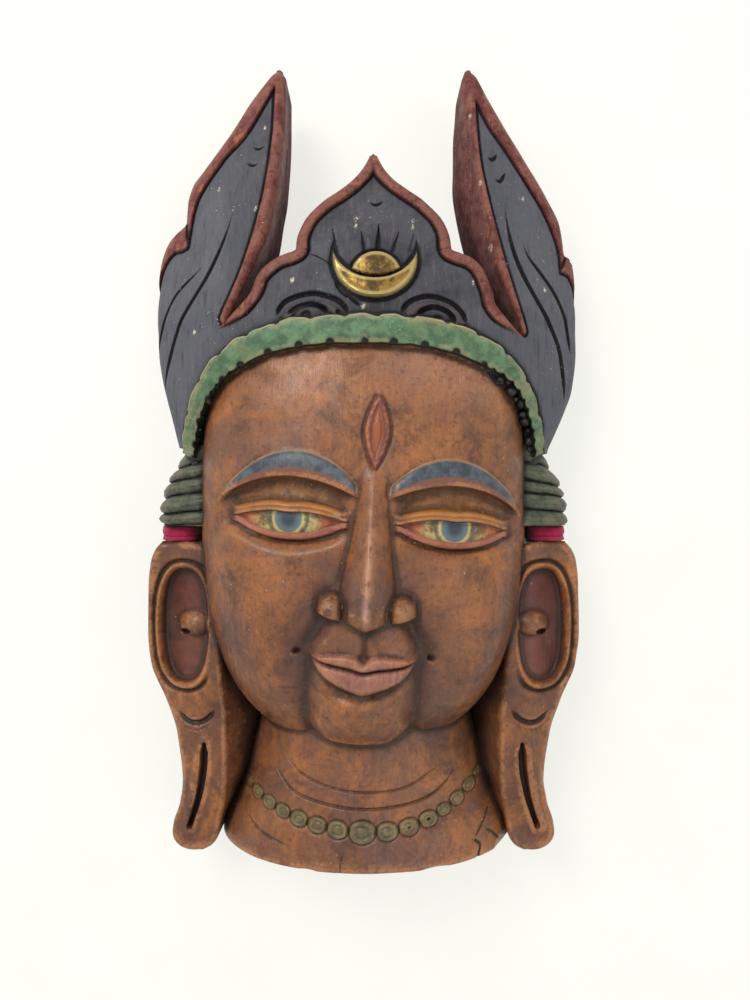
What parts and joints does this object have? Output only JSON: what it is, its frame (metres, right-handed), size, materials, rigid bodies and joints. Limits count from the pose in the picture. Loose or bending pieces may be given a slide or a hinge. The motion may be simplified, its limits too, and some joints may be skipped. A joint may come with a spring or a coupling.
{
  "type": "tibetan cham mask",
  "caption": "Carved and painted wooden deity mask with a tall leafed crown, a third eye, long pierced ear lobes and a necked base, hollowed behind for wearing or hanging.",
  "frame": {"origin": "centre of the bounding box's underside, which is the plane of the mask's flat back rim", "axes": "+Y towards the crown's tips, +Z out of the face, +X to the viewer's right as the face is looked at"},
  "size_m": [0.253, 0.454, 0.119],
  "materials": {
    "painted_wood": "carved wood under worn matt paint: brown skin, slate crown with dark red borders, green band and knots",
    "crimson_tape": "thin woven tape"
  },
  "bodies": {
    "root": {"mask": "painted_wood", "tie_left": "crimson_tape", "tie_right": "crimson_tape"}
  },
  "joints": []
}
